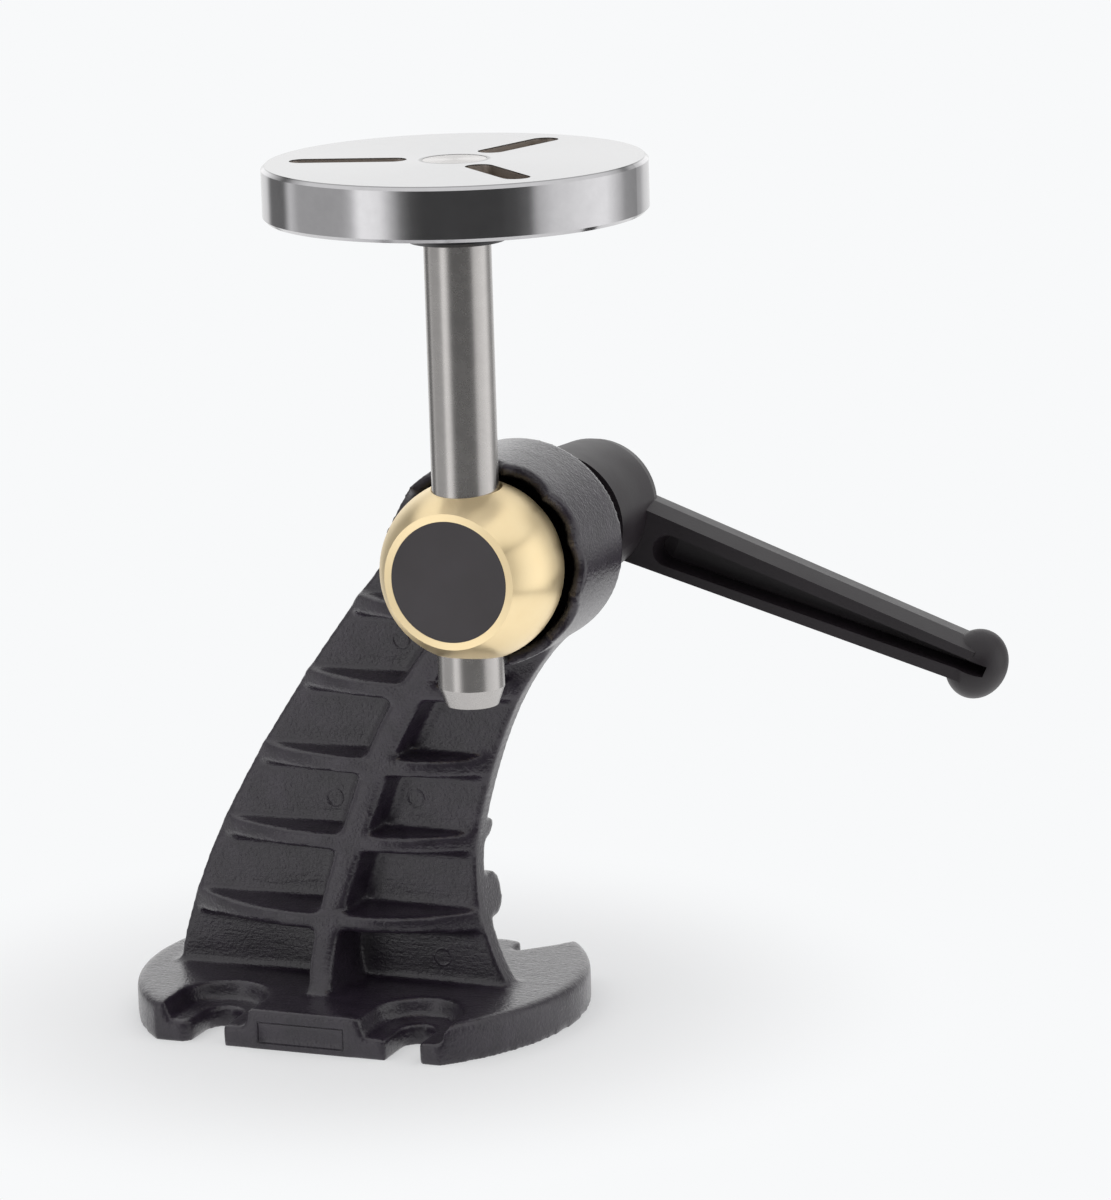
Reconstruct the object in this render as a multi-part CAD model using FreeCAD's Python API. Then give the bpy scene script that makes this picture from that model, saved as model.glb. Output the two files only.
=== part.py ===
"""Ball vise: a faceplate on a post that a brass ball draws back into a notched socket.

Frame: origin at the centre of the round base, on its underside. +X to the side that the socket
overhangs, +Y to the back, where the lever is, +Z up. Millimetres.
"""
import FreeCAD, Part
import math
import os
from FreeCAD import Vector

# ---------------------------------------------------------------- driving sizes
# post and faceplate
post_dia = 15.875             # 5/8 inch ground bar
post_reach_up = 85.2          # socket axis up to the faceplate's underside
post_reach_down = 32.0        # socket axis down to the post's lower end
post_nose_length = 4.5        # taper at the lower end
post_nose_shrink = 1.6        # what the taper takes off the radius
spigot_step = 0.44            # step from the post down to the spigot in the faceplate
faceplate_dia = 90.0
faceplate_thick = 12.8        # half-inch plate
faceplate_chamfer = 0.9
slot_count = 3
slot_angle = 75.6             # direction of the first slot, from +X
slot_inner_radius = 14.5      # centres of a slot's two round ends
slot_outer_radius = 35.5
slot_width = 6.6              # clears a 6 mm wood screw
collar_dia = 24.4
collar_thick = 6.2
collar_chamfer = 0.8

# ball
ball_radius = 21.86
ball_behind_post = 2.45       # ball's centre behind the post's axis
ball_face_radius = 16.3       # flat turned on the front
ball_back_radius = 8.0        # flat turned on the back
bore_chamfer = 0.7
face_disc_radius = 14.46
face_disc_thick = 1.5

# socket
socket_x = 43.4
socket_height = 118.4
socket_radius = 25.3
socket_back_y = 8.4
socket_wall = 3.1
socket_floor_thick = 9.4
socket_edge_chamfer = 0.4
socket_boss_radius = 13.5     # guide for the draw bolt, behind the socket
socket_boss_end_y = 20.0
notch_count = 12
notch_seat_y = -17.2          # bottoms of the notches
crown_height = 3.0            # crown tips stand this far in front of the seats

# draw bolt and lever
bolt_dia = 12.0
bolt_head_radius = 8.3
bolt_head_thick = 5.0
bolt_flat = 10.0              # across its two flats
bolt_length = 50.0
draw_travel = 3.0             # 1.5 turns of the 2 mm thread
washer_radius = 13.0
washer_thick = 2.5
insert_flange_radius = 12.0
insert_flange_thick = 2.0
insert_teeth = 24
insert_tooth_radius = 11.0
insert_tooth_depth = 1.0
insert_tooth_length = 4.2
insert_boss_radius = 8.0
insert_neck = 3.45            # plain neck between the flange and the serrations
insert_length = 15.0
insert_plug = 3.0             # left between the thread and the screw's hole
lift_travel = 5.0             # the handle lifts this far to turn free of the insert
hub_front_y = 27.6
hub_length = 31.2
hub_front_radius = 17.8
hub_back_radius = 16.15
hub_taper_share = 0.86        # of the hub's length, up to the start of the end's bevel
hub_bevel = 0.75
hub_end_round = 0.7
lever_angle = 21.5            # below +X at rest
lever_length = 103.5          # socket axis to the centre of the ball end
lever_ball_setback = 5.2      # centre of the ball end behind the hub's end
lever_ball_radii = (7.6, 8.8)           # along the arm, across it
arm_root_reach = 16.2         # distance from the axis at which the root's sizes hold
arm_depth = 14.0
arm_root_height = 16.2
arm_root_front = 11.8         # arm's front side ahead of the hub's end, at the hub
arm_root_drop = 0.9           # middle of the arm below the lever's centre line, at the hub
arm_tip_height = 10.8
arm_tip_front = 3.6
arm_tip_drop = -0.7
arm_draft = 0.9               # arm's sides fall by this from the parting plane to each face
recess_start = 24.1           # centre of the recess's round end, from the axis
recess_overrun = 4.0          # recess runs this far past the ball end's centre
recess_depth = 6.0
recess_root_wall = (4.4, 3.2)   # left above and below the recess at the hub
recess_tip_wall = (3.2, 4.0)
recess_draft = 0.8
screw_dia = 6.0
screw_head_radius = 5.2
screw_head_thick = 3.5
screw_head_sunk = 1.0
screw_grip = 3.5              # screw's length inside the insert
screw_socket_radius = 3.0
screw_socket_sides = 6
shoulder_gap = 1.05           # handle's shoulder behind the insert
shoulder_thick = 2.5
spring_wire = 1.1             # square wire
spring_radius = 5.0
spring_turns = 6
spring_steps = 12             # straight lengths in each turn

# base
base_radius = 56.2
base_thick = 9.8
base_edge_round = 1.8
base_front_y = -41.8
bolt_slot_spacing = 51.5      # between the two bench-bolt slots
bolt_slot_shift = 1.85        # middle of the two, towards the overhang
bolt_slot_width = 8.8
bolt_slot_end_y = -31.5       # centre of a slot's round end
lobe_corner = (3.0, 0.9)      # rounding of the outer corner at the left and the right slot
counterbore_radius = 10.0
counterbore_draft = 1.3       # wider by this at the top
counterbore_floor = 5.2
bite_radius = 50.0
bite_centre_y = 63.0
tail_half_width = 30.0
tail_end_y = 32.0
tail_corner = 3.0
pad_width = 22.4
pad_shift = 1.1
pad_low_z = 1.6
pad_height = 5.1
pad_depth = 0.5

# arm
web_front_y = -8.0
web_thick = 6.0
# Edges of the web: share of the drop from socket axis to base top, and x from the socket axis.
arm_left_edge = [(-0.04, -24.6), (0.173, -42.7), (0.48, -65.6), (0.751, -81.4), (1.0, -90.1)]
arm_right_edge = [(0.178, 15.9), (0.32, 4.1), (0.51, -4.4), (0.725, -9.0), (0.883, -6.6), (1.0, -1.1)]
# Spine on the front of the web: share of the drop, centre x, width, and reach ahead of the web.
arm_spine = [
    (0.14, -6.9, 8.4, 9.2),
    (0.30, -20.4, 7.5, 8.4),
    (0.435, -28.9, 7.1, 7.3),
    (0.62, -37.0, 6.8, 7.3),
    (0.80, -43.0, 6.2, 9.9),
    (0.90, -44.8, 5.7, 13.4),
    (1.0, -43.6, 5.6, 20.0),
]
spine_draft = 2.6             # spine's root wider by this on each side
rib_first_drop = 35.7         # socket axis down to the first full rib's lower edge
rib_pitch = 19.5
rib_count = 4
rib_thick = 3.9
rib_draft = 1.6
rib_fullness = 0.82           # share of the spine's reach that a rib has halfway out to the edge
rib_end_sink = 0.5            # rib's ends start this far inside the web
back_bar_low = (87.7, 5.7, 9.0)     # drop of its axis, radius, reach behind the web
back_bar_high = (70.5, 2.6, 4.4)

# clearances
running = 0.05                # round fits that slide or turn
seat_gap = 0.1                # post in a notch, beyond its own radius
tip_gap = 0.2                 # released post clear of the crown tips
loose = 0.34                  # around parts that only pass each other
key_gap = 0.1                 # bolt's flats in the socket's floor
tooth_gap = 0.15
thrust_gap = 0.05

# ---------------------------------------------------------------- derived places
post_r = post_dia / 2
crown_tip_y = notch_seat_y - crown_height
post_y = crown_tip_y - tip_gap - post_r
ball_y = post_y + ball_behind_post
ball_face_y = ball_y - math.sqrt(ball_radius ** 2 - ball_face_radius ** 2)
ball_back_y = ball_y + math.sqrt(ball_radius ** 2 - ball_back_radius ** 2)
head_front_y = post_y + post_r + 1.3
head_back_y = head_front_y + bolt_head_thick
bolt_r = bolt_dia / 2
socket_floor_y = socket_back_y - socket_floor_thick
insert_front_y = socket_boss_end_y + washer_thick + thrust_gap
insert_back_y = insert_front_y + insert_length
tooth_start_y = insert_front_y + insert_flange_thick + insert_neck
tooth_end_y = tooth_start_y + insert_tooth_length
hub_back_y = hub_front_y + hub_length
shoulder_y = insert_back_y + shoulder_gap
spring_start_y = shoulder_y + shoulder_thick
screw_head_y = hub_back_y - screw_head_sunk - screw_head_thick
faceplate_z = socket_height + post_reach_up
drop = socket_height - base_thick
wide = 4 * base_radius         # reaches past every part of the stand

X = Vector(1, 0, 0)
Y = Vector(0, 1, 0)
Z = Vector(0, 0, 1)
axis_point = Vector(socket_x, 0, socket_height)
post_point = Vector(socket_x, post_y, 0)


# ---------------------------------------------------------------- helpers
def at_socket(x, y, z):
    """A point given from the socket's axis."""
    return Vector(socket_x + x, y, socket_height + z)


def rod(radius, y_from, y_to):
    """A round bar along the socket's axis."""
    return Part.makeCylinder(radius, y_to - y_from, at_socket(0, y_from, 0), Y)


def block(x0, x1, y0, y1, z0, z1):
    return Part.makeBox(x1 - x0, y1 - y0, z1 - z0, Vector(x0, y0, z0))


def turned(profile):
    """Revolve a closed (radius, y) outline about the socket's axis."""
    points = [at_socket(r, y, 0) for r, y in profile]
    face = Part.Face(Part.makePolygon(points + points[:1]))
    return face.revolve(axis_point, Y, 360)


def prism(points, direction):
    return Part.Face(Part.makePolygon(points + points[:1])).extrude(direction)


def star(outer, inner, teeth, y_from, y_to):
    """A serrated bar along the socket's axis."""
    points = []
    for k in range(2 * teeth):
        radius = outer if k % 2 == 0 else inner
        angle = math.pi * k / teeth
        points.append(at_socket(radius * math.cos(angle), y_from, radius * math.sin(angle)))
    return prism(points, Vector(0, y_to - y_from, 0))


def clean(shape):
    shape = shape.removeSplitter()
    if shape.ShapeType == "Compound" and len(shape.Solids) == 1:
        return shape.Solids[0]
    return shape


# ---------------------------------------------------------------- base
def base():
    """Round foot with a rolled top edge, two open bolt slots, a rear bite and a tail."""
    r = base_radius
    e = base_edge_round
    corner = Part.Arc(
        Vector(r - e, 0, base_thick),
        Vector(r - e + e * math.sin(math.pi / 4), 0, base_thick - e + e * math.cos(math.pi / 4)),
        Vector(r, 0, base_thick - e),
    ).toShape()
    lines = [
        Part.makeLine(Vector(0, 0, 0), Vector(0, 0, base_thick)),
        Part.makeLine(Vector(0, 0, base_thick), Vector(r - e, 0, base_thick)),
        corner,
        Part.makeLine(Vector(r, 0, base_thick - e), Vector(r, 0, 0)),
        Part.makeLine(Vector(r, 0, 0), Vector(0, 0, 0)),
    ]
    foot = Part.Face(Part.Wire(lines)).revolve(Vector(0, 0, 0), Z, 360)
    foot = foot.cut(block(-r - 1, r + 1, -r - 1, base_front_y, -1, base_thick + 1))
    bite = Part.makeCylinder(bite_radius, base_thick + 2, Vector(0, bite_centre_y, -1), Z)
    foot = foot.cut(bite)
    foot = foot.fuse(tail())
    for side, corner in zip((-1, 1), lobe_corner):
        x = bolt_slot_shift + side * bolt_slot_spacing / 2
        foot = foot.cut(bolt_slot(x)).cut(lobe_rounding(x + side * bolt_slot_width / 2, side, corner))
    pad = block(pad_shift - pad_width / 2, pad_shift + pad_width / 2,
                base_front_y - 1, base_front_y + pad_depth, pad_low_z, pad_low_z + pad_height)
    return foot.cut(pad)


def tail():
    """Short tongue that fills the middle of the bite, with rounded corners."""
    plate = block(-tail_half_width, tail_half_width, 0, tail_end_y, 0, base_thick)
    corners = [e for e in plate.Edges
               if e.BoundBox.ZLength > base_thick / 2 and e.BoundBox.YMin > tail_end_y / 2]
    return plate.makeFillet(tail_corner, corners)


def bolt_slot(x):
    """Slot open at the front for a bench bolt, with a flared counterbore for its head."""
    half = bolt_slot_width / 2
    front = base_front_y - base_thick
    tall = base_thick + 1
    end = Part.makeCylinder(half, tall + 1, Vector(x, bolt_slot_end_y, -1), Z)
    way = block(x - half, x + half, front, bolt_slot_end_y, -1, tall)
    floor_r = counterbore_radius
    top_r = floor_r + counterbore_draft * (tall - counterbore_floor) / (base_thick - counterbore_floor)
    bowl = Part.makeCone(floor_r, top_r, tall - counterbore_floor,
                         Vector(x, bolt_slot_end_y, counterbore_floor), Z)
    mouth = prism([Vector(x - floor_r, front, counterbore_floor),
                   Vector(x + floor_r, front, counterbore_floor),
                   Vector(x + top_r, front, tall),
                   Vector(x - top_r, front, tall)], Vector(0, bolt_slot_end_y - front, 0))
    return end.multiFuse([way, bowl, mouth])


def lobe_rounding(x, side, radius):
    """What rounds the corner between a slot's outer wall and the base's front."""
    middle = Vector(x + side * radius, base_front_y + radius, -1)
    corner = block(min(x, middle.x), max(x, middle.x), base_front_y - 1, middle.y, -1, base_thick + 1)
    return corner.cut(Part.makeCylinder(radius, base_thick + 2, middle, Z))


# ---------------------------------------------------------------- arm
def edge_points(stations):
    return [at_socket(x, 0, -share * drop) for share, x in stations]


def curve_through(points):
    curve = Part.BSplineCurve()
    curve.interpolate(points)
    return curve.toShape()


def edge_x(stations, z):
    """x of an arm edge at height z below the socket's axis, straight between its stations."""
    share = -z / drop
    for (s0, x0), (s1, x1) in zip(stations, stations[1:]):
        if share <= s1:
            return x0 + (x1 - x0) * (share - s0) / (s1 - s0)
    return stations[-1][1]


def arm_outline(y_from, y_to):
    """The arm's side view from base to socket, as a slab between two y planes."""
    left = edge_points(arm_left_edge)
    right = edge_points(arm_right_edge)
    sink = Vector(0, 0, -1)
    wire = Part.Wire([
        curve_through(left),
        Part.makeLine(left[-1], left[-1] + sink),
        Part.makeLine(left[-1] + sink, right[-1] + sink),
        Part.makeLine(right[-1] + sink, right[-1]),
        curve_through(right[::-1]),
        Part.makeLine(right[0], left[0]),
    ])
    face = Part.Face(wire)
    face.translate(Vector(0, y_from, 0))
    return face.extrude(Vector(0, y_to - y_from, 0))


def spine_at(z):
    """Centre x, width and reach of the spine at height z below the socket's axis."""
    share = -z / drop
    for low, high in zip(arm_spine, arm_spine[1:]):
        if share <= high[0]:
            t = (share - low[0]) / (high[0] - low[0])
            return [a + (b - a) * t for a, b in zip(low[1:], high[1:])]
    return list(arm_spine[-1][1:])


def spine():
    """Curved backbone on the front of the web, lofted through its stations."""
    sections = []
    for share, x, width, reach in arm_spine:
        z = -share * drop
        front = web_front_y - reach
        back = web_front_y + web_thick / 2
        corners = [
            at_socket(x - width / 2, front, z),
            at_socket(x + width / 2, front, z),
            at_socket(x + width / 2 + spine_draft, back, z),
            at_socket(x - width / 2 - spine_draft, back, z),
        ]
        sections.append(Part.makePolygon(corners + corners[:1]))
    return Part.makeLoft(sections, True, False)


def rib(low_z):
    """Cross rib: full depth at the spine, bowed out to nothing at both edges of the web."""
    middle, width, reach = spine_at(low_z + rib_thick / 2)
    left = edge_x(arm_left_edge, low_z)
    right = edge_x(arm_right_edge, low_z)
    front = web_front_y - reach
    bow = web_front_y - reach * rib_fullness
    inner = web_front_y + web_thick / 2
    z = low_z - 1
    near = at_socket(middle - width / 2, front, z)
    far = at_socket(middle + width / 2, front, z)
    start = at_socket(left, web_front_y + rib_end_sink, z)
    end = at_socket(right, web_front_y + rib_end_sink, z)
    plan = Part.Wire([
        Part.Arc(start, at_socket((left + middle - width / 2) / 2, bow, z), near).toShape(),
        Part.makeLine(near, far),
        Part.Arc(far, at_socket((right + middle + width / 2) / 2, bow, z), end).toShape(),
        Part.makeLine(end, at_socket(right, inner, z)),
        Part.makeLine(at_socket(right, inner, z), at_socket(left, inner, z)),
        Part.makeLine(at_socket(left, inner, z), start),
    ])
    side = [
        at_socket(left, front - 1, low_z),
        at_socket(left, front - 1, low_z + rib_thick),
        at_socket(left, inner, low_z + rib_thick + rib_draft),
        at_socket(left, inner, low_z - rib_draft / 4),
    ]
    wedge = Part.Face(plan).extrude(Vector(0, 0, rib_thick + rib_draft + 2))
    return wedge.common(prism(side, Vector(right - left, 0, 0))).common(arm_outline(front - 2, inner))


def back_bar(bar):
    """Round-backed bar across the back of the web."""
    fall, radius, reach = bar
    web_back = web_front_y + web_thick
    root_y = web_back - web_thick / 2
    middle_y = web_back + reach - radius
    x = -wide
    low = at_socket(x, middle_y, -fall - radius)
    high = at_socket(x, middle_y, -fall + radius)
    section = Part.Wire([
        Part.Arc(low, at_socket(x, middle_y + radius, -fall), high).toShape(),
        Part.makeLine(high, at_socket(x, root_y, -fall + radius)),
        Part.makeLine(at_socket(x, root_y, -fall + radius), at_socket(x, root_y, -fall - radius)),
        Part.makeLine(at_socket(x, root_y, -fall - radius), low),
    ])
    bar = Part.Face(section).extrude(Vector(2 * wide, 0, 0))
    return bar.common(arm_outline(root_y - 1, web_back + reach + 1))


def arm():
    web = arm_outline(web_front_y, web_front_y + web_thick)
    parts = [spine()]
    for k in range(-1, rib_count):
        parts.append(rib(-rib_first_drop - k * rib_pitch))
    parts.append(back_bar(back_bar_low))
    parts.append(back_bar(back_bar_high))
    return web.multiFuse(parts)


# ---------------------------------------------------------------- socket
def socket_body():
    c = socket_edge_chamfer
    r = socket_radius
    b = socket_boss_radius
    return turned([(0, crown_tip_y), (r, crown_tip_y), (r, socket_back_y - c), (r - c, socket_back_y),
                   (b, socket_back_y), (b, socket_boss_end_y), (0, socket_boss_end_y)])


def socket_hollow():
    """Mouth for the ball, its cored cone, and the keyed hole through floor and boss."""
    mouth = socket_radius - socket_wall
    cone_start = socket_floor_y - (socket_floor_y - crown_tip_y) * 0.5
    hollow = turned([(0, crown_tip_y - 1), (mouth, crown_tip_y - 1), (mouth, cone_start),
                     (mouth / 2, socket_floor_y), (0, socket_floor_y)])
    return hollow.fuse(double_d(bolt_r + key_gap, bolt_flat + 2 * key_gap,
                                socket_floor_y - 1, socket_boss_end_y + 1))


def double_d(radius, across, y_from, y_to):
    """Round bar along the socket's axis with a flat on its top and bottom."""
    bar = rod(radius, y_from, y_to)
    flats = block(socket_x - radius - 1, socket_x + radius + 1, y_from - 1, y_to + 1,
                  socket_height - across / 2, socket_height + across / 2)
    return bar.common(flats)


def crown_notches():
    """Radial half-round grooves that the post is drawn into, one every 30 degrees."""
    radius = post_r + seat_gap
    centre_y = notch_seat_y - radius
    cuts = []
    for k in range(notch_count):
        angle = 2 * math.pi * k / notch_count
        ray = Vector(math.cos(angle), 0, math.sin(angle))
        start = at_socket(0, centre_y, 0) + ray * (socket_radius - 2 * socket_wall)
        cuts.append(Part.makeCylinder(radius, 2 * socket_wall + 2, start, ray))
    return cuts


def stand_casting():
    """Base, ribbed arm and socket are one iron casting."""
    shape = base().multiFuse([arm(), socket_body()])
    return clean(shape.cut(socket_hollow()).cut(crown_notches()))


# ---------------------------------------------------------------- ball and what it carries
def ball():
    """Turned ball with a flat face, a cross bore for the post and a stepped bore for the bolt."""
    sphere = Part.makeSphere(ball_radius, at_socket(0, ball_y, 0))
    body = sphere.common(rod(ball_radius + 1, ball_face_y, ball_back_y))
    body = body.cut(rod(face_disc_radius + running, ball_face_y - 1, ball_face_y + face_disc_thick))
    body = body.cut(rod(bolt_head_radius + loose, ball_face_y, head_back_y + running))
    body = body.cut(rod(bolt_r + running, ball_face_y, ball_back_y + 1))
    reach = ball_radius + 1
    start = Vector(socket_x, post_y, socket_height - reach)
    body = body.cut(Part.makeCylinder(post_r + running, 2 * reach, start, Z))
    return clean(body.cut(bore_lips()))


def bore_lips():
    """Chamfers where the post's bore leaves the ball."""
    lip_z = math.sqrt(ball_radius ** 2 - post_r ** 2 - ball_behind_post ** 2) - bore_chamfer
    mouth = post_r + running + 4 * bore_chamfer
    lips = []
    for way in (-1, 1):
        start = Vector(socket_x, post_y, socket_height + way * lip_z)
        lips.append(Part.makeCone(post_r + running, mouth, 4 * bore_chamfer, start, Z * way))
    return lips


def ball_face_disc():
    """Plain disc that closes the bolt's bore."""
    return rod(face_disc_radius, ball_face_y, ball_face_y + face_disc_thick)


def draw_bolt():
    """Bolt whose head sits in the ball behind the post, keyed in the socket's floor."""
    head = rod(bolt_head_radius, head_front_y, head_back_y)
    neck = rod(bolt_r, head_back_y - 1, socket_floor_y - draw_travel - 0.5)
    shank = double_d(bolt_r, bolt_flat, socket_floor_y - draw_travel - 1,
                     head_front_y + bolt_length)
    return clean(head.multiFuse([neck, shank]))


def post():
    """Ground bar with a tapered nose and a spigot for the faceplate."""
    foot = socket_height - post_reach_down
    nose = Part.makeCone(post_r - post_nose_shrink, post_r, post_nose_length,
                         Vector(socket_x, post_y, foot), Z)
    bar = Part.makeCylinder(post_r, faceplate_z - foot - post_nose_length,
                            Vector(socket_x, post_y, foot + post_nose_length), Z)
    spigot = Part.makeCylinder(post_r - spigot_step, faceplate_thick - running,
                               Vector(socket_x, post_y, faceplate_z), Z)
    return clean(nose.multiFuse([bar, spigot]))


def faceplate_collar():
    """Collar pressed on the post under the faceplate, chamfered below."""
    r = collar_dia / 2
    low = Vector(socket_x, post_y, faceplate_z - collar_thick)
    shoulder = low + Z * collar_chamfer
    ring = Part.makeCone(r - collar_chamfer, r, collar_chamfer, low, Z)
    ring = ring.fuse(Part.makeCylinder(r, collar_thick - collar_chamfer, shoulder, Z))
    return clean(ring.cut(Part.makeCylinder(post_r, collar_thick, low, Z)))


def faceplate():
    """Round plate with radial screw slots."""
    r = faceplate_dia / 2
    c = faceplate_chamfer
    outline = [(0, 0), (r - c, 0), (r, c), (r, faceplate_thick - c), (r - c, faceplate_thick),
               (0, faceplate_thick)]
    points = [Vector(socket_x + x, post_y, faceplate_z + z) for x, z in outline]
    plate = Part.Face(Part.makePolygon(points + points[:1])).revolve(post_point, Z, 360)
    cuts = [Part.makeCylinder(post_r - spigot_step + running, faceplate_thick,
                              Vector(socket_x, post_y, faceplate_z), Z)]
    for k in range(slot_count):
        cuts.append(radial_slot(slot_angle + 360 * k / slot_count))
    return clean(plate.cut(cuts))


def radial_slot(angle):
    """Slot along +X from the post's axis, then turned to its place."""
    half = slot_width / 2
    low = faceplate_z - 1
    tall = faceplate_thick + 2
    slot = block(socket_x + slot_inner_radius, socket_x + slot_outer_radius, post_y - half,
                 post_y + half, low, low + tall)
    for radius in (slot_inner_radius, slot_outer_radius):
        end = Part.makeCylinder(half, tall, Vector(socket_x + radius, post_y, low), Z)
        slot = slot.fuse(end)
    slot.rotate(post_point, Z, angle)
    return slot


# ---------------------------------------------------------------- lever
def thrust_washer():
    back = socket_boss_end_y + washer_thick
    ring = rod(washer_radius, socket_boss_end_y, back)
    return ring.cut(rod(bolt_r + loose, socket_boss_end_y, back))


def lever_insert():
    """Threaded steel hub with a serrated collar that the handle drops onto."""
    body = rod(insert_flange_radius, insert_front_y, insert_front_y + insert_flange_thick)
    root = insert_tooth_radius - insert_tooth_depth
    neck = rod(root - tooth_gap, insert_front_y + 1, tooth_start_y + 1)
    teeth = star(insert_tooth_radius, root, insert_teeth, tooth_start_y, tooth_end_y)
    boss = rod(insert_boss_radius, tooth_start_y, insert_back_y)
    body = body.multiFuse([neck, teeth, boss])
    body = body.cut(rod(bolt_r + running, insert_front_y, insert_back_y - insert_plug))
    return clean(body.cut(rod(screw_dia / 2, insert_front_y, insert_back_y)))


def hub_outside():
    """Slightly tapered hub with a shallow bevel at its closed end."""
    bevel_y = hub_front_y + hub_taper_share * hub_length
    end_r = hub_back_radius - hub_bevel
    return turned([(0, hub_front_y), (hub_front_radius, hub_front_y), (hub_back_radius, bevel_y),
                   (end_r, hub_back_y - hub_end_round), (end_r - hub_end_round, hub_back_y),
                   (0, hub_back_y)])


def lever_station(u):
    """Middle height, height and front y of the lever's arm at distance u from the socket's axis."""
    t = (u - arm_root_reach) / (lever_length - lever_ball_radii[0] - arm_root_reach)
    middle = -arm_root_drop + (arm_root_drop - arm_tip_drop) * t
    height = arm_root_height + (arm_tip_height - arm_root_height) * t
    ahead = arm_root_front + (arm_tip_front - arm_root_front) * t
    return middle, height, hub_back_y - ahead


def arm_section(u):
    """Six-sided section across the lever's arm, tallest at the parting plane in its middle."""
    middle, height, front = lever_station(u)
    low = middle - height / 2
    high = middle + height / 2
    parting = front + arm_depth / 2
    back = front + arm_depth
    d = arm_draft
    corners = [(front, low + d), (front, high - d), (parting, high), (back, high - d),
               (back, low + d), (parting, low)]
    points = [at_socket(u, y, z) for y, z in corners]
    return Part.makePolygon(points + points[:1])


def ball_end():
    """Slightly flattened ball at the end of the lever."""
    along, across = lever_ball_radii
    middle = at_socket(lever_length, hub_back_y + lever_ball_setback, 0)
    oval = Part.Ellipse(middle + Y * across, middle + X * along, middle)
    half = Part.ArcOfEllipse(oval, -math.pi / 2, math.pi / 2).toShape()
    chord = Part.makeLine(middle + X * along, middle - X * along)
    return Part.Face(Part.Wire([half, chord])).revolve(middle, X, 360)


def lever_arm():
    """Tapered arm with a long recess in its front side and a ball at its end."""
    bar = Part.makeLoft([arm_section(arm_root_reach / 2), arm_section(lever_length)], True, True)
    return bar.fuse(ball_end()).cut(arm_recess())


def recess_section(u, walls):
    """Cross-section of the recess, wider at its mouth."""
    middle, height, front = lever_station(u)
    high = middle + height / 2 - walls[0]
    low = middle - height / 2 + walls[1]
    d = recess_draft
    points = [at_socket(u, front - recess_depth, high + d), at_socket(u, front + recess_depth, high - d),
              at_socket(u, front + recess_depth, low + d), at_socket(u, front - recess_depth, low - d)]
    return Part.makePolygon(points + points[:1])


def arm_recess():
    """Recess along the arm's front side, round at the hub and square at the ball end."""
    run = Part.makeLoft([recess_section(recess_start, recess_root_wall),
                         recess_section(lever_length + recess_overrun, recess_tip_wall)], True, True)
    middle, height, front = lever_station(recess_start)
    high = middle + height / 2 - recess_root_wall[0]
    low = middle - height / 2 + recess_root_wall[1]
    half = (high - low) / 2
    nose = Part.makeCone(half + recess_draft, half - recess_draft, 2 * recess_depth,
                         at_socket(recess_start, front - recess_depth, (high + low) / 2), Y)
    ahead = at_socket(recess_start, front - 2 * recess_depth, (high + low) / 2 - 2 * half)
    nose = nose.cut(Part.makeBox(2 * half, 4 * recess_depth, 4 * half, ahead))
    return run.fuse(nose)


def hub_inside():
    """Stepped hollow: serrations, boss chamber, screw hole and spring chamber."""
    root = insert_tooth_radius - insert_tooth_depth
    teeth = star(insert_tooth_radius + tooth_gap, root + tooth_gap, insert_teeth,
                 hub_front_y - 1, tooth_end_y + tooth_gap)
    chamber = rod(insert_boss_radius + loose, tooth_end_y, shoulder_y)
    hole = rod(screw_dia / 2 + loose, shoulder_y - 1, spring_start_y + 1)
    spring_room = rod(spring_radius + spring_wire, spring_start_y, hub_back_y + 1)
    return teeth.multiFuse([chamber, hole, spring_room])


def lever_handle():
    """Moulded handle: hub, arm and ball end in one piece, set at its resting angle."""
    body = hub_outside().fuse(lever_arm())
    body.rotate(axis_point, Y, lever_angle)
    return clean(body.cut(hub_inside()))


def lever_screw():
    """Screw that holds the handle and its spring on the insert."""
    head_back_y = screw_head_y + screw_head_thick
    head = rod(screw_head_radius, screw_head_y, head_back_y)
    shank = rod(screw_dia / 2, insert_back_y - screw_grip, screw_head_y + 1)
    middle = (screw_head_y + head_back_y) / 2
    drive = star(screw_socket_radius, screw_socket_radius, screw_socket_sides // 2, middle, head_back_y)
    return clean(head.fuse(shank).cut(drive))


def lever_spring():
    """Compression spring of square wire between the handle's shoulder and the screw's head."""
    half = spring_wire / 2
    low = spring_start_y + half + thrust_gap
    rise = screw_head_y - half - thrust_gap - low
    steps = spring_turns * spring_steps
    sections = []
    for k in range(steps + 1):
        angle = 2 * math.pi * k / spring_steps
        out = Vector(math.cos(angle), 0, math.sin(angle))
        centre = at_socket(0, low + rise * k / steps, 0) + out * (spring_radius - half)
        corners = [centre + out * a + Y * b
                   for a, b in ((-half, -half), (half, -half), (half, half), (-half, half))]
        sections.append(Part.makePolygon(corners + corners[:1]))
    return Part.makeLoft(sections, True, True)


# ---------------------------------------------------------------- output
NODES = {
    "stand_casting": stand_casting,
    "thrust_washer": thrust_washer,
    "draw_bolt": draw_bolt,
    "ball": ball,
    "ball_face_disc": ball_face_disc,
    "post": post,
    "faceplate_collar": faceplate_collar,
    "faceplate": faceplate,
    "lever_insert": lever_insert,
    "lever_handle": lever_handle,
    "lever_spring": lever_spring,
    "lever_screw": lever_screw,
}

os.makedirs("parts", exist_ok=True)
for node, make in NODES.items():
    shape = make()
    box = shape.BoundBox
    print("%-18s solids %d volume %9.1f valid %s  x %.1f..%.1f y %.1f..%.1f z %.1f..%.1f" % (
        node, len(shape.Solids), shape.Volume, shape.isValid(),
        box.XMin, box.XMax, box.YMin, box.YMax, box.ZMin, box.ZMax))
    shape.exportStep("parts/" + node + ".step")
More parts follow.
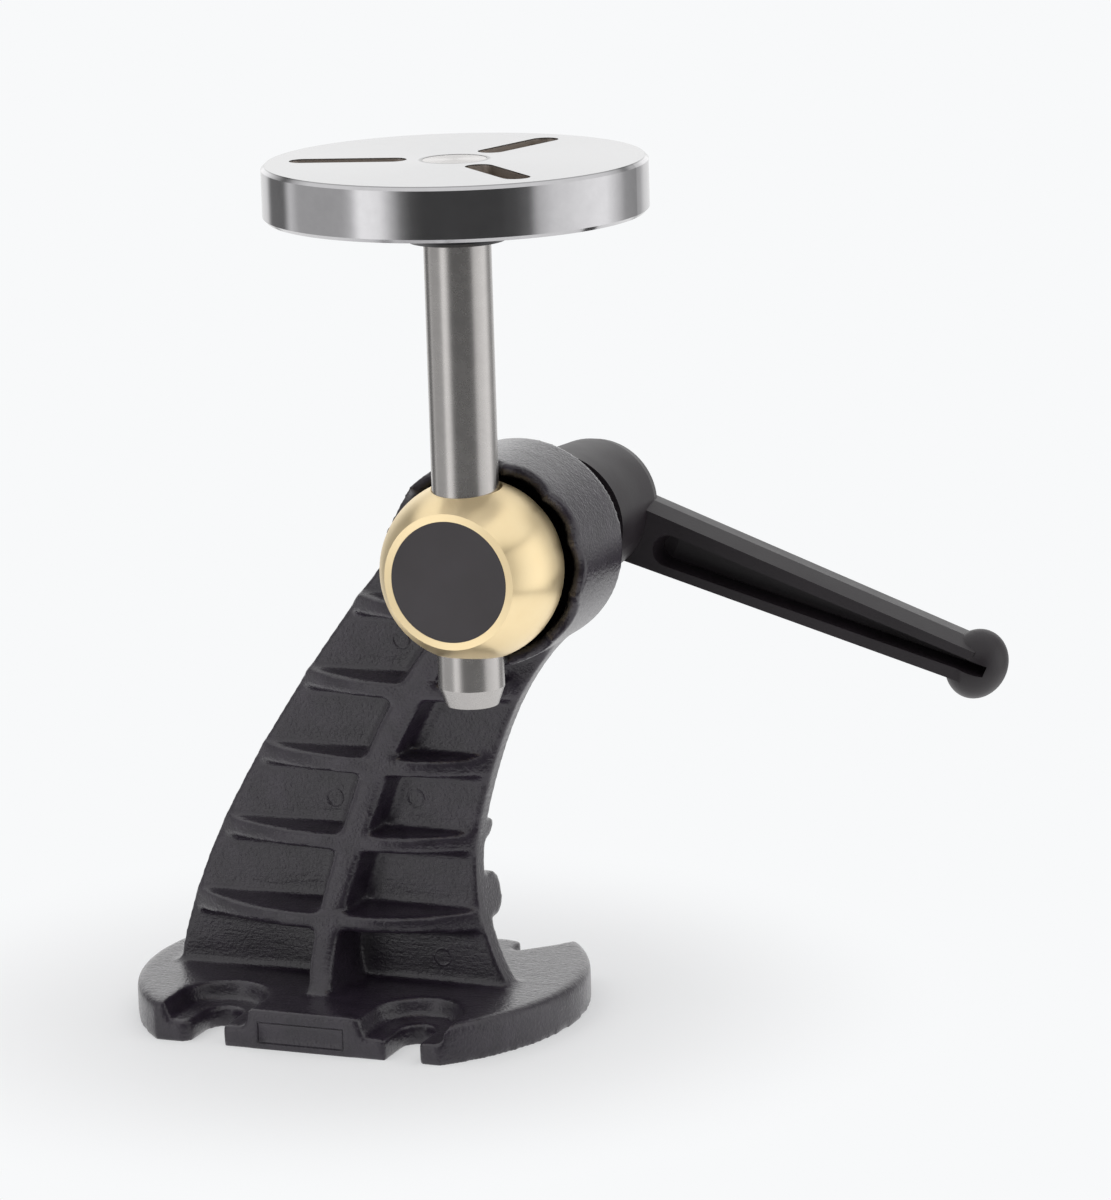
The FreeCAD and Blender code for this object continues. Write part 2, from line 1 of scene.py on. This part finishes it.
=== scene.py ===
"""Looks of the ball vise: painted iron stand, turned brass ball, ground steel post and faceplate."""
import bpy
import bmesh
import math
from mathutils import Matrix, Vector


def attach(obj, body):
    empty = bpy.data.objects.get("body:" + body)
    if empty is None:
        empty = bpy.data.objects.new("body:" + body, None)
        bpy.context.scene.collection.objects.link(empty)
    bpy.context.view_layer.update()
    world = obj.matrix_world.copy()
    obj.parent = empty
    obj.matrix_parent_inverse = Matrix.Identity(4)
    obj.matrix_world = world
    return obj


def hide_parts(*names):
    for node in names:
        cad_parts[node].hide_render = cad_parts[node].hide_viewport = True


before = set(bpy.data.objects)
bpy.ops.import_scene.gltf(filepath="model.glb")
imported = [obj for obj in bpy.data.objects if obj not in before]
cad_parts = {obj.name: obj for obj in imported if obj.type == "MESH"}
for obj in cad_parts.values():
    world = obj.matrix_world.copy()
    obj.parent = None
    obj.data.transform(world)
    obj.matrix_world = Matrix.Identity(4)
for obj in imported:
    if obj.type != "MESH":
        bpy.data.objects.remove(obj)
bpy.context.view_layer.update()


# ------------------------------------------------------------------ sizes taken from the model's parts
X, Y, Z = 0, 1, 2


def span(node_name, axis):
    """Least and greatest coordinate of a node along one axis, in metres."""
    along = [vertex.co[axis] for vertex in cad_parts[node_name].data.vertices]
    return min(along), max(along)


def middle(node_name, axis):
    """Halfway between a node's two ends along one axis."""
    return sum(span(node_name, axis)) / 2


PLATE_UNDER, PLATE_TOP = span("faceplate", Z)
PLATE_R = (span("faceplate", X)[1] - span("faceplate", X)[0]) / 2
# A point on each axis, and the way it runs.
SOCKET_AXIS = (middle("thrust_washer", X), 0.0, middle("thrust_washer", Z))
SOCKET_WAY = (0.0, 1.0, 0.0)
POST_AXIS = (middle("faceplate", X), middle("faceplate", Y), 0.0)
POST_WAY = (0.0, 0.0, 1.0)


# ------------------------------------------------------------------ colour and node helpers
def paint(hex_code):
    """sRGB hex to the linear colour a shader takes."""
    channels = []
    for k in (0, 2, 4):
        c = int(hex_code[k:k + 2], 16) / 255
        channels.append(c / 12.92 if c <= 0.04045 else ((c + 0.055) / 1.055) ** 2.4)
    return (*channels, 1.0)


def grey(v):
    """Linear grey, also for a ramp that carries a plain number."""
    return (v, v, v, 1.0)


def per_mm(count):
    """Noise scale of a pattern that has so many marks in a millimetre."""
    return count * 1000.0


def over(fade):
    """The two ends of a fade, as Map Range takes them."""
    return {"From_Min": fade[0], "From_Max": fade[1]}


def wire(node, **inputs):
    """Set inputs by name, or by number as i0: a node or socket is linked, anything else is written."""
    for name, value in inputs.items():
        key = int(name[1:]) if name[0] == "i" and name[1:].isdigit() else name.replace("_", " ")
        if isinstance(value, bpy.types.Node):
            value = next(socket for socket in value.outputs if socket.enabled)
        if isinstance(value, bpy.types.NodeSocket):
            node.id_data.links.new(value, node.inputs[key])
        else:
            node.inputs[key].default_value = value


def add(tree, kind, stops=(), **given):
    """Add a node: the given names it has as properties are settings, the others are its inputs."""
    node = tree.nodes.new("ShaderNode" + kind)
    settings = {name: value for name, value in given.items() if hasattr(node, name)}
    for name, value in settings.items():
        setattr(node, name, value)
    if stops:
        band = node.color_ramp.elements
        while len(band) < len(stops):
            band.new(0.5)
        for element, (position, colour) in zip(band, stops):
            element.position = position
            element.color = colour
    wire(node, **{name: value for name, value in given.items() if name not in settings})
    return node


def new_material(name):
    """An empty material with its output and one Principled shader."""
    mat = bpy.data.materials.new(name)
    mat.use_nodes = True
    tree = mat.node_tree
    tree.nodes.clear()
    shader = add(tree, "BsdfPrincipled")
    add(tree, "OutputMaterial", Surface=shader)
    return mat, tree, shader


def round_axis(tree, place, centre, axis):
    """Vector that runs round an axis through a centre, as long as the distance from the axis."""
    out = add(tree, "VectorMath", operation="SUBTRACT", i0=place, i1=centre)
    return add(tree, "VectorMath", operation="CROSS_PRODUCT", i0=out, i1=axis)


def about(tree, place, centre, axis):
    """World tangent that runs round an axis through a centre, as turning marks do."""
    ring = round_axis(tree, place, centre, axis)
    return add(tree, "VectorTransform", vector_type="VECTOR", convert_from="OBJECT",
               convert_to="WORLD", Vector=ring)


def off_axis(tree, place, centre, axis):
    """Distance from an axis through a centre."""
    return add(tree, "VectorMath", operation="LENGTH", i0=round_axis(tree, place, centre, axis))


# ------------------------------------------------------------------ painted iron of the stand
# Each pair is where a look sets in and where it has fully taken over, in metres.
MOUTH_SHADE = (0.0229, 0.0240)          # off the socket's axis: painted shade in the mouth inside, plain paint outside
SCRATCHED = (0.0270, 0.0340)        # off the socket's axis: the web's scratches begin
WEB_FRONT = (-0.0050, -0.0060)      # y: pin marks show on the web's front alone
BEHIND_TAB = (-0.0406, -0.0402)     # y: past the tab's face the pad's outline ends
SCRATCH_DRAG = (0.14, 1.0, 1.0)     # squeeze along x that draws the scratches out
COAT = 0.75                         # share of clear gloss over the paint

# Round marks that the mould's pins leave on the web: x, z and radius.
PIN_MARKS = ((0.0166, 0.0956, 0.0021), (-0.0025, 0.0549, 0.0021), (0.0191, 0.0562, 0.0021),
             (0.0248, 0.0164, 0.0021))
PIN_RIM = 0.0004                    # from a mark's edge line out to the flat web

# The sunk pad on the tab: middle and half size along x and along z.
PAD = (("X", 0.0011, 0.0112), ("Z", 0.00415, 0.00255))
PAD_EDGE = 0.0002                   # half the width of the step round the pad


def pin_marks(tree, place):
    """Height of the mould pins' rims on the web's front, as thin circles."""
    flat = add(tree, "VectorMath", operation="MULTIPLY", i0=place, i1=(1.0, 0.0, 1.0))
    total = None
    for x, z, radius in PIN_MARKS:
        away = add(tree, "VectorMath", operation="DISTANCE", i0=flat, i1=(x, 0.0, z))
        off = add(tree, "Math", operation="SUBTRACT", i0=away, i1=radius)
        size = add(tree, "Math", operation="ABSOLUTE", i0=off)
        rim = add(tree, "MapRange", Value=size, From_Min=PIN_RIM, From_Max=0.0)
        total = add(tree, "Math", operation="MAXIMUM", i0=total, i1=rim) if total else rim
    depth = add(tree, "SeparateXYZ", Vector=place).outputs["Y"]
    front = add(tree, "MapRange", Value=depth, **over(WEB_FRONT))
    return add(tree, "Math", operation="MULTIPLY", i0=total, i1=front)


def pad_step(tree, place):
    """Step down to the sunk pad on the front of the tab: 1 on the tab, 0 on the pad."""
    spot = add(tree, "SeparateXYZ", Vector=place)
    sides = []
    for socket, centre, half in PAD:
        off = add(tree, "Math", operation="SUBTRACT", i0=spot.outputs[socket], i1=centre)
        size = add(tree, "Math", operation="ABSOLUTE", i0=off)
        sides.append(add(tree, "Math", operation="SUBTRACT", i0=size, i1=half))
    edge = add(tree, "Math", operation="MAXIMUM", i0=sides[0], i1=sides[1])
    step = add(tree, "MapRange", Value=edge, From_Min=-PAD_EDGE, From_Max=PAD_EDGE)
    behind = add(tree, "MapRange", Value=spot.outputs["Y"], **over(BEHIND_TAB))
    return add(tree, "Math", operation="MAXIMUM", i0=step, i1=behind)


def painted_iron():
    """Grey iron casting under satin black paint: the sand's grain shows through as fine pimples."""
    mat, tree, shader = new_material("satin_black_cast_iron")
    place = add(tree, "TexCoord").outputs["Object"]
    # pimples 0.8 mm apart, somewhat coarser than moulding sand so that they show
    grain = add(tree, "TexNoise", Vector=place, Scale=per_mm(1.3), Detail=2.0, Roughness=0.6)
    flow = add(tree, "TexNoise", Vector=place, Scale=per_mm(0.21), Detail=3.0, Roughness=0.55)
    tone = add(tree, "ValToRGB", Fac=flow, stops=((0.3, paint("201A24")), (0.7, paint("2D2631"))))
    gloss = add(tree, "ValToRGB", Fac=grain, stops=((0.3, grey(0.30)), (0.75, grey(0.44))))
    # the socket's mouth and crown carry painted shade: near-black colour and less clear gloss, for the
    # shade of the ball over them
    reach = off_axis(tree, place, SOCKET_AXIS, SOCKET_WAY)
    unshaded = add(tree, "MapRange", Value=reach, **over(MOUTH_SHADE))
    skin = add(tree, "Mix", data_type="RGBA", Factor=unshaded, A=paint("161416"), B=tone)
    coat = add(tree, "Math", operation="MULTIPLY", i0=unshaded, i1=COAT)
    # the flat faces of the web carry faint scratches of the mould, nearly level
    drag = add(tree, "VectorMath", operation="MULTIPLY", i0=place, i1=SCRATCH_DRAG)
    scratch = add(tree, "TexNoise", Vector=drag, Scale=per_mm(1.1), Detail=2.0, Roughness=0.55)
    web = add(tree, "MapRange", Value=reach, **over(SCRATCHED))
    lines = add(tree, "Math", operation="MULTIPLY", i0=scratch, i1=web)
    # relief from the largest form to the finest: height, strength and depth
    relief = None
    for height, strength, depth in (
        (pin_marks(tree, place), 0.35, 0.0003),
        (pad_step(tree, place), 1.00, 0.0006),
        (flow, 0.18, 0.0006),
        (lines, 0.50, 0.0002),
        (grain, 0.65, 0.0002),
    ):
        bump = add(tree, "Bump", Height=height, Strength=strength, Distance=depth)
        if relief:
            wire(bump, Normal=relief)
        relief = bump
    wire(shader, Base_Color=skin, Roughness=gloss, Specular_IOR_Level=0.3, Normal=relief,
         Coat_Weight=coat, Coat_Roughness=0.24, Coat_Normal=relief)
    return mat


# ------------------------------------------------------------------ brass and steel
def turned_brass():
    """Free-cutting brass, fine turned on its axis: close rings that fan every highlight out."""
    mat, tree, shader = new_material("turned_brass")
    place = add(tree, "TexCoord").outputs["Object"]
    # a wave texture makes 20 bands in 2 pi units, so the rings are 0.35 mm apart: coarser than the
    # lathe's feed, so that they show
    rings = add(tree, "TexWave", bands_direction="Y", Vector=place, Scale=900.0, Distortion=0.4,
                Detail=2.0)
    cloud = add(tree, "TexNoise", Vector=place, Scale=per_mm(0.13), Detail=3.0)
    tone = add(tree, "ValToRGB", Fac=cloud, stops=((0.3, paint("F7E0B2")), (0.75, paint("FBE6BA"))))
    gloss = add(tree, "ValToRGB", Fac=cloud, stops=((0.25, grey(0.28)), (0.8, grey(0.30))))
    bump = add(tree, "Bump", Height=rings.outputs["Fac"], Strength=0.10, Distance=0.00006)
    wire(shader, Metallic=1.0, Anisotropic=0.8, Anisotropic_Rotation=0.25, Base_Color=tone,
         Roughness=gloss, Normal=bump, Tangent=about(tree, place, SOCKET_AXIS, SOCKET_WAY))
    return mat


# Where the plate's looks set in and where they have taken over, by height or off the post's axis.
DULL_TOP = (PLATE_TOP - 0.0003, PLATE_TOP - 0.0001)
OUT_OF_JOINT = (0.0080, 0.0086)     # from the edge of the post's spigot to the clean plate round it
IN_FROM_RIM = (PLATE_R - 0.0010, PLATE_R - 0.0014)
DOWN_FROM_TOP = (PLATE_TOP - 0.0002, PLATE_TOP - 0.0004)
UP_FROM_UNDER = (PLATE_UNDER + 0.0001, PLATE_UNDER + 0.0003)
SLOT_ROUGHER = 0.35                 # added to the roughness in the slots


def plate_wear(tree, height, out, tone, gloss):
    """The plate's tone and gloss: dull top, dark joint round the post, slots left as milled."""
    # the face that takes the work is duller than the turned rim
    top = add(tree, "MapRange", Value=height, **over(DULL_TOP))
    worn = add(tree, "Mix", data_type="RGBA", Factor=top, A=tone, B=paint("9B9B9C"))
    clear = add(tree, "MapRange", Value=out, **over(OUT_OF_JOINT))
    ringed = add(tree, "Mix", data_type="RGBA", Factor=clear, A=paint("2A282A"), B=worn)
    # inside the rim and between the two faces only the slots' walls show: coarse, and stained by oil
    inside = add(tree, "MapRange", Value=out, **over(IN_FROM_RIM))
    below = add(tree, "MapRange", Value=height, **over(DOWN_FROM_TOP))
    above = add(tree, "MapRange", Value=height, **over(UP_FROM_UNDER))
    between = add(tree, "Math", operation="MULTIPLY", i0=below, i1=above)
    slot = add(tree, "Math", operation="MULTIPLY", i0=inside, i1=between)
    stained = add(tree, "Mix", data_type="RGBA", Factor=slot, A=ringed, B=paint("AFA59C"))
    coarse = add(tree, "Math", operation="MULTIPLY_ADD", i0=slot, i1=SLOT_ROUGHER, i2=gloss)
    return stained, coarse


def bright_steel(name, low, high, rough, grooves_per_mm, worn=False):
    """Mild steel turned and ground about the post's axis: fine rings across a pale grey."""
    mat, tree, shader = new_material(name)
    place = add(tree, "TexCoord").outputs["Object"]
    height = add(tree, "SeparateXYZ", Vector=place).outputs["Z"]
    out = off_axis(tree, place, POST_AXIS, POST_WAY)
    along = add(tree, "Math", operation="ADD", i0=height, i1=out)
    strip = add(tree, "CombineXYZ", X=along)
    marks = add(tree, "TexNoise", Vector=strip, Scale=per_mm(grooves_per_mm), Detail=2.0)
    cloud = add(tree, "TexNoise", Vector=place, Scale=per_mm(0.26), Detail=4.0, Roughness=0.65)
    tone = add(tree, "ValToRGB", Fac=cloud, stops=((0.3, paint(low)), (0.75, paint(high))))
    gloss = add(tree, "ValToRGB", Fac=cloud,
                stops=((0.25, grey(rough - 0.01)), (0.8, grey(rough + 0.015))))
    if worn:
        tone, gloss = plate_wear(tree, height, out, tone, gloss)
    bump = add(tree, "Bump", Height=marks, Strength=0.05, Distance=0.00003)
    wire(shader, Metallic=1.0, Anisotropic=0.5, Anisotropic_Rotation=0.25, Base_Color=tone,
         Roughness=gloss, Normal=bump, Tangent=about(tree, place, POST_AXIS, POST_WAY))
    return mat


# ------------------------------------------------------------------ plain blacks
def even_black(name, low, high, rough):
    """Moulded nylon, oxidised steel or a matt disc: even black with a faint sparkle grain."""
    mat, tree, shader = new_material(name)
    place = add(tree, "TexCoord").outputs["Object"]
    grain = add(tree, "TexNoise", Vector=place, Scale=per_mm(1.5), Detail=2.0)
    cloud = add(tree, "TexNoise", Vector=place, Scale=per_mm(0.07), Detail=2.0)
    tone = add(tree, "ValToRGB", Fac=cloud, stops=((0.3, paint(low)), (0.7, paint(high))))
    gloss = add(tree, "ValToRGB", Fac=cloud, stops=((0.3, grey(rough - 0.04)), (0.7, grey(rough + 0.05))))
    bump = add(tree, "Bump", Height=grain, Strength=0.22, Distance=0.0001)
    wire(shader, Base_Color=tone, Roughness=gloss, Specular_IOR_Level=0.45, Normal=bump)
    return mat


IRON = painted_iron()
BRASS = turned_brass()
POST_STEEL = bright_steel("ground_post_steel", "B6B3B1", "BEBBB9", 0.27, 9)
PLATE_STEEL = bright_steel("turned_plate_steel", "C0BFC1", "C7C6C8", 0.13, 6, worn=True)
BLACK_STEEL = even_black("black_oxide_steel", "18171A", "201F22", 0.40)
DISC_BLACK = even_black("matt_black_disc", "3A3638", "423E41", 0.50)
LEVER_BLACK = even_black("moulded_black_nylon", "1C171B", "231D22", 0.44)

NODE_FINISH = {
    "stand_casting": IRON,
    "thrust_washer": BLACK_STEEL,
    "draw_bolt": POST_STEEL,
    "ball": BRASS,
    "ball_face_disc": DISC_BLACK,
    "post": POST_STEEL,
    "faceplate_collar": BLACK_STEEL,
    "faceplate": PLATE_STEEL,
    "lever_insert": POST_STEEL,
    "lever_handle": LEVER_BLACK,
    "lever_spring": POST_STEEL,
    "lever_screw": BLACK_STEEL,
}
for node_name, finish in NODE_FINISH.items():
    for material_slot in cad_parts[node_name].material_slots:
        material_slot.material = finish


# ------------------------------------------------------------------ cast skin of the stand
CAST_VOXEL = 0.0008              # grain of the skin, fine enough for the notches
CAST_ROUNDS = 9                  # rounds of smoothing, each moving a vertex half of the way
SOLE_Z = 0.0012                  # vertices below keep their height, so the base stands flat
TAB_SIDES = (-0.0120, 0.0142)    # x: the tab's front face with its pad keeps its edges
TAB_TOP_Z = 0.0085
TAB_FRONT_Y = -0.0405
MOUTH_R = 0.0255                 # the socket's mouth, off its axis
CROWN_R = 0.0275                 # the notched crown, wider than the mouth
CROWN_Y = -0.0130                # and in front of this
SHARPER = 0.2                    # share of the rounding at mouth and crown


def applied(piece):
    """The piece's mesh with its modifiers worked in, and none left on it."""
    view = bpy.context.evaluated_depsgraph_get()
    mesh = bpy.data.meshes.new_from_object(piece.evaluated_get(view))
    piece.modifiers.clear()
    piece.data = mesh
    return mesh


def roundness(place):
    """How far edges are rounded: fully on arm and base, little at the socket, not at the tab's pad."""
    out = math.hypot(place.x - SOCKET_AXIS[X], place.z - SOCKET_AXIS[Z])
    if place.y < TAB_FRONT_Y and TAB_SIDES[0] < place.x < TAB_SIDES[1] and place.z < TAB_TOP_Z:
        return 0.0
    if out < MOUTH_R or (place.y < CROWN_Y and out < CROWN_R):
        return SHARPER
    return 1.0


def cast_stand():
    """The stand with the rolled edges and filleted roots of a sand casting."""
    piece = bpy.data.objects.new("stand_cast_skin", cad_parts["stand_casting"].data.copy())
    bpy.context.collection.objects.link(piece)
    remesh = piece.modifiers.new("voxels", "REMESH")
    remesh.mode = "VOXEL"
    remesh.voxel_size = CAST_VOXEL
    mesh = applied(piece)
    sole = {v.index: v.co.z for v in mesh.vertices if v.co.z < SOLE_Z}
    group = piece.vertex_groups.new(name="round")
    for vertex in mesh.vertices:
        group.add([vertex.index], roundness(vertex.co), "REPLACE")
    smooth = piece.modifiers.new("cast", "SMOOTH")
    smooth.factor = 0.5
    smooth.iterations = CAST_ROUNDS
    smooth.vertex_group = group.name
    mesh = applied(piece)
    for index, height in sole.items():
        mesh.vertices[index].co.z = height
    piece.vertex_groups.clear()
    mesh.materials.clear()
    mesh.materials.append(IRON)
    for face in mesh.polygons:
        face.use_smooth = True
    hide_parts("stand_casting")
    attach(piece, "stand")


cast_stand()


# ------------------------------------------------------------------ stage
BACKDROP_WHITE = paint("F8F9FA")
FLOOR_SIZE = 4.0             # half the sheet's width
SHADOW_FADE = (0.06, 0.145)  # from the base's middle: the floor's shadow fades into plain white
SHADOW_WHITE = 0.42          # share of plain white that is mixed in under the object too


def floor_sheet():
    """White sheet with the object's soft shadow on it, fading into plain white further out."""
    mat, tree, shader = new_material("white_sweep")
    wire(shader, Base_Color=paint("F4F4F5"), Roughness=0.9)
    place = add(tree, "TexCoord").outputs["Object"]
    reach = add(tree, "VectorMath", operation="LENGTH", i0=place)
    far = add(tree, "MapRange", interpolation_type="SMOOTHSTEP", Value=reach, **over(SHADOW_FADE),
              To_Min=SHADOW_WHITE)
    plain = add(tree, "Emission", Color=BACKDROP_WHITE, Strength=1.0)
    near = add(tree, "MixShader", i0=far, i1=shader, i2=plain)
    # reflections pass through the sheet's far part and see the studio below instead
    glossy = add(tree, "LightPath").outputs["Is Glossy Ray"]
    past = add(tree, "Math", operation="MULTIPLY", i0=far, i1=glossy)
    clear = add(tree, "BsdfTransparent")
    mix = add(tree, "MixShader", i0=past, i1=near, i2=clear)
    wire(tree.nodes["Material Output"], Surface=mix)
    mesh = bpy.data.meshes.new("floor")
    bm = bmesh.new()
    bmesh.ops.create_grid(bm, x_segments=1, y_segments=1, size=FLOOR_SIZE)
    bm.to_mesh(mesh)
    bm.free()
    sheet = bpy.data.objects.new("floor", mesh)
    bpy.context.collection.objects.link(sheet)
    mesh.materials.append(mat)


# ------------------------------------------------------------------ light
CAMERA_YAW = math.radians(21.893)   # the room is laid out from it as well
# Radiance round the object at eye level, by angle from the camera: to its left (negative) and right.
ROUND_THE_ROOM = (
    (-180, 0.95), (-150, 0.88), (-141, 0.20), (-122, 0.18), (-115, 0.85), (-106, 0.52), (-70, 0.52),
    (-64, 0.72), (-58, 1.40), (-45, 1.25), (-38, 0.70), (-32, 0.26), (-26, 0.10), (-18, 0.06),
    (26, 0.06), (36, 0.09), (45, 0.18), (50, 0.66), (60, 0.96), (90, 1.25), (101, 1.30), (112, 0.85),
    (121, 0.45), (135, 0.36), (145, 0.60), (155, 0.90), (180, 0.95),
)
# All that follows goes by the upward part of the direction, from -1 straight down to 1 straight up.
# Radiance of the backdrop behind the object, with a dark gap up to the overhead light.
UP_THE_BACKDROP = ((-0.40, 0.80), (0.00, 0.95), (0.06, 1.28), (0.33, 1.28), (0.45, 0.50), (0.58, 0.55),
                   (0.72, 1.00))
# Share of the light left at the dark seams where the side lights end, below and above.
SEAMS = ((-0.41, 1.0), (-0.37, 0.45), (-0.35, 0.45), (-0.31, 1.0), (0.42, 1.0), (0.46, 0.50),
         (0.48, 0.50), (0.53, 1.0))
OVERHEAD = 1.00                     # radiance of the big soft light above
OVERHEAD_FADE = (0.42, 0.66)        # where it sets in and where it has taken over
FRONT_FILL = 0.22                   # least radiance above eye level, so tops seen from behind show
FRONT_FILL_FADE = (0.06, 0.20)
UNDERFOOT = 1.00                    # radiance of the white floor, seen in steep downward reflections
UNDERFOOT_FADE = (-0.30, -0.42)
BACKDROP_FADE = (-0.80, -0.92)      # by the part of the direction that points to the camera


def studio_world():
    """Studio round the object: dark behind the camera, soft lights at both sides and overhead."""
    world = bpy.data.worlds.new("studio")
    bpy.context.scene.world = world
    world.use_nodes = True
    tree = world.node_tree
    tree.nodes.clear()
    way = add(tree, "TexCoord").outputs["Generated"]
    right = (math.cos(CAMERA_YAW), math.sin(CAMERA_YAW), 0.0)
    to_camera = (math.sin(CAMERA_YAW), -math.cos(CAMERA_YAW), 0.0)
    across = add(tree, "VectorMath", operation="DOT_PRODUCT", i0=way, i1=right)
    ahead = add(tree, "VectorMath", operation="DOT_PRODUCT", i0=way, i1=to_camera)
    turn = add(tree, "Math", operation="ARCTAN2", i0=across, i1=ahead)
    share = add(tree, "MapRange", Value=turn, From_Min=-math.pi, From_Max=math.pi)
    walls = add(tree, "ValToRGB", Fac=share, stops=[(a / 360 + 0.5, grey(v)) for a, v in ROUND_THE_ROOM])
    height = add(tree, "SeparateXYZ", Vector=way).outputs["Z"]
    rise = add(tree, "MapRange", Value=height, From_Min=-1.0, From_Max=1.0)
    column = add(tree, "ValToRGB", Fac=rise, stops=[(z / 2 + 0.5, grey(v)) for z, v in UP_THE_BACKDROP])
    seams = add(tree, "ValToRGB", Fac=rise, stops=[(z / 2 + 0.5, grey(v)) for z, v in SEAMS])
    fill = add(tree, "MapRange", interpolation_type="SMOOTHSTEP", Value=height,
               **over(FRONT_FILL_FADE), To_Max=FRONT_FILL)
    light = add(tree, "VectorMath", operation="MAXIMUM", i0=walls, i1=fill)
    # each layer fades in over those before it: overhead light, backdrop, white floor
    for direction, fade, radiance in (
        (height, OVERHEAD_FADE, grey(OVERHEAD)),
        (ahead, BACKDROP_FADE, column),
        (height, UNDERFOOT_FADE, grey(UNDERFOOT)),
    ):
        cover = add(tree, "MapRange", interpolation_type="SMOOTHSTEP", Value=direction, **over(fade))
        light = add(tree, "Mix", data_type="RGBA", Factor=cover, A=light, B=radiance)
    seamed = add(tree, "Mix", data_type="RGBA", blend_type="MULTIPLY", Factor=1.0, A=light, B=seams)
    room = add(tree, "Background", Color=seamed, Strength=1.0)
    plain = add(tree, "Background", Color=BACKDROP_WHITE, Strength=1.0)
    seen = add(tree, "LightPath").outputs["Is Camera Ray"]
    mix = add(tree, "MixShader", i0=seen, i1=room, i2=plain)
    add(tree, "OutputWorld", Surface=mix)


# ------------------------------------------------------------------ camera
CAMERA_PITCH = math.radians(12.751)
CAMERA_ROLL = math.radians(-1.677)
CAMERA_TARGET = Vector((0.06486, -0.02700, 0.11246))
CAMERA_DISTANCE = 1.24443
LENS_MM = 159.0
SENSOR_MM = 36.0


def camera():
    """Long lens, to the right of the front and a little above, slightly rolled."""
    level = math.cos(CAMERA_PITCH)
    ahead = Vector((-math.sin(CAMERA_YAW) * level, math.cos(CAMERA_YAW) * level, -math.sin(CAMERA_PITCH)))
    right = Vector((math.cos(CAMERA_YAW), math.sin(CAMERA_YAW), 0))
    up = right.cross(ahead)
    turned_right = math.cos(CAMERA_ROLL) * right + math.sin(CAMERA_ROLL) * up
    turned_up = -math.sin(CAMERA_ROLL) * right + math.cos(CAMERA_ROLL) * up
    data = bpy.data.cameras.new("camera")
    data.lens = LENS_MM
    data.sensor_width = SENSOR_MM
    data.clip_start = 0.05
    data.clip_end = 20.0
    cam = bpy.data.objects.new("camera", data)
    spin = Matrix((turned_right, turned_up, -ahead)).transposed()
    cam.matrix_world = Matrix.Translation(CAMERA_TARGET - ahead * CAMERA_DISTANCE) @ spin.to_4x4()
    bpy.context.collection.objects.link(cam)
    bpy.context.scene.camera = cam


floor_sheet()
studio_world()
camera()
bpy.context.scene.view_settings.view_transform = "Standard"
